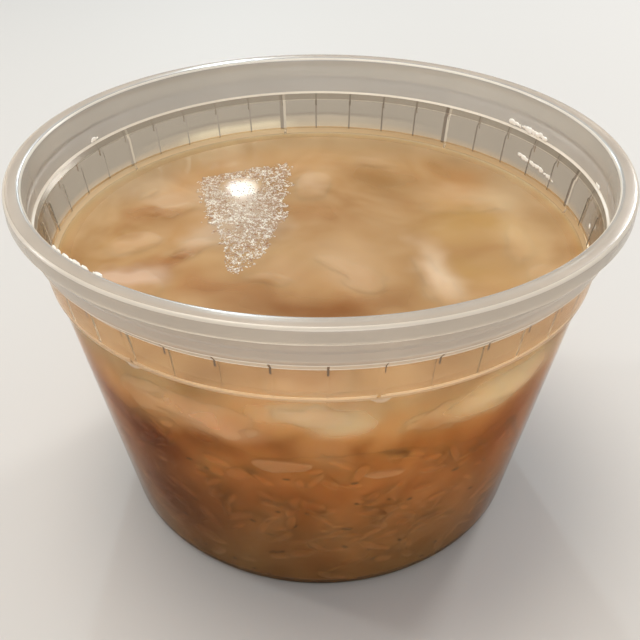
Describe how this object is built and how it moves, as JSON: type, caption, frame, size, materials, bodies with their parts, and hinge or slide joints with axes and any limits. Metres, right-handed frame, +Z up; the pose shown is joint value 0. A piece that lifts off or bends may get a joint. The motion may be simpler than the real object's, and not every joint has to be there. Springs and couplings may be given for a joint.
{
  "type": "tub of chicken rice soup",
  "caption": "Round tapered see-through food tub with a lid rim, filled to the shoulder with cloudy broth, chicken pieces and settled rice.",
  "frame": {"origin": "middle of the foot, on the surface it stands on", "axes": "+Z up through the middle of the rim, -Y towards the side seen in the picture, +X to the right of that view"},
  "size_m": [0.117, 0.117, 0.0755],
  "materials": {
    "clear_plastic": "clear to milky moulded polypropylene, smooth",
    "broth": "cloudy caramel broth, wet and level",
    "rice": "swollen cooked rice steeped in broth",
    "chicken": "cooked chicken breast, wet, soft fibres"
  },
  "bodies": {
    "root": {"tub": "clear_plastic", "broth": "broth", "rice_bed": "rice", "chicken_wall_left": "chicken", "chicken_wall_middle": "chicken", "chicken_wall_right": "chicken", "chicken_top_left": "chicken", "chicken_top_far_left": "chicken", "chicken_top_back": "chicken"}
  },
  "joints": []
}
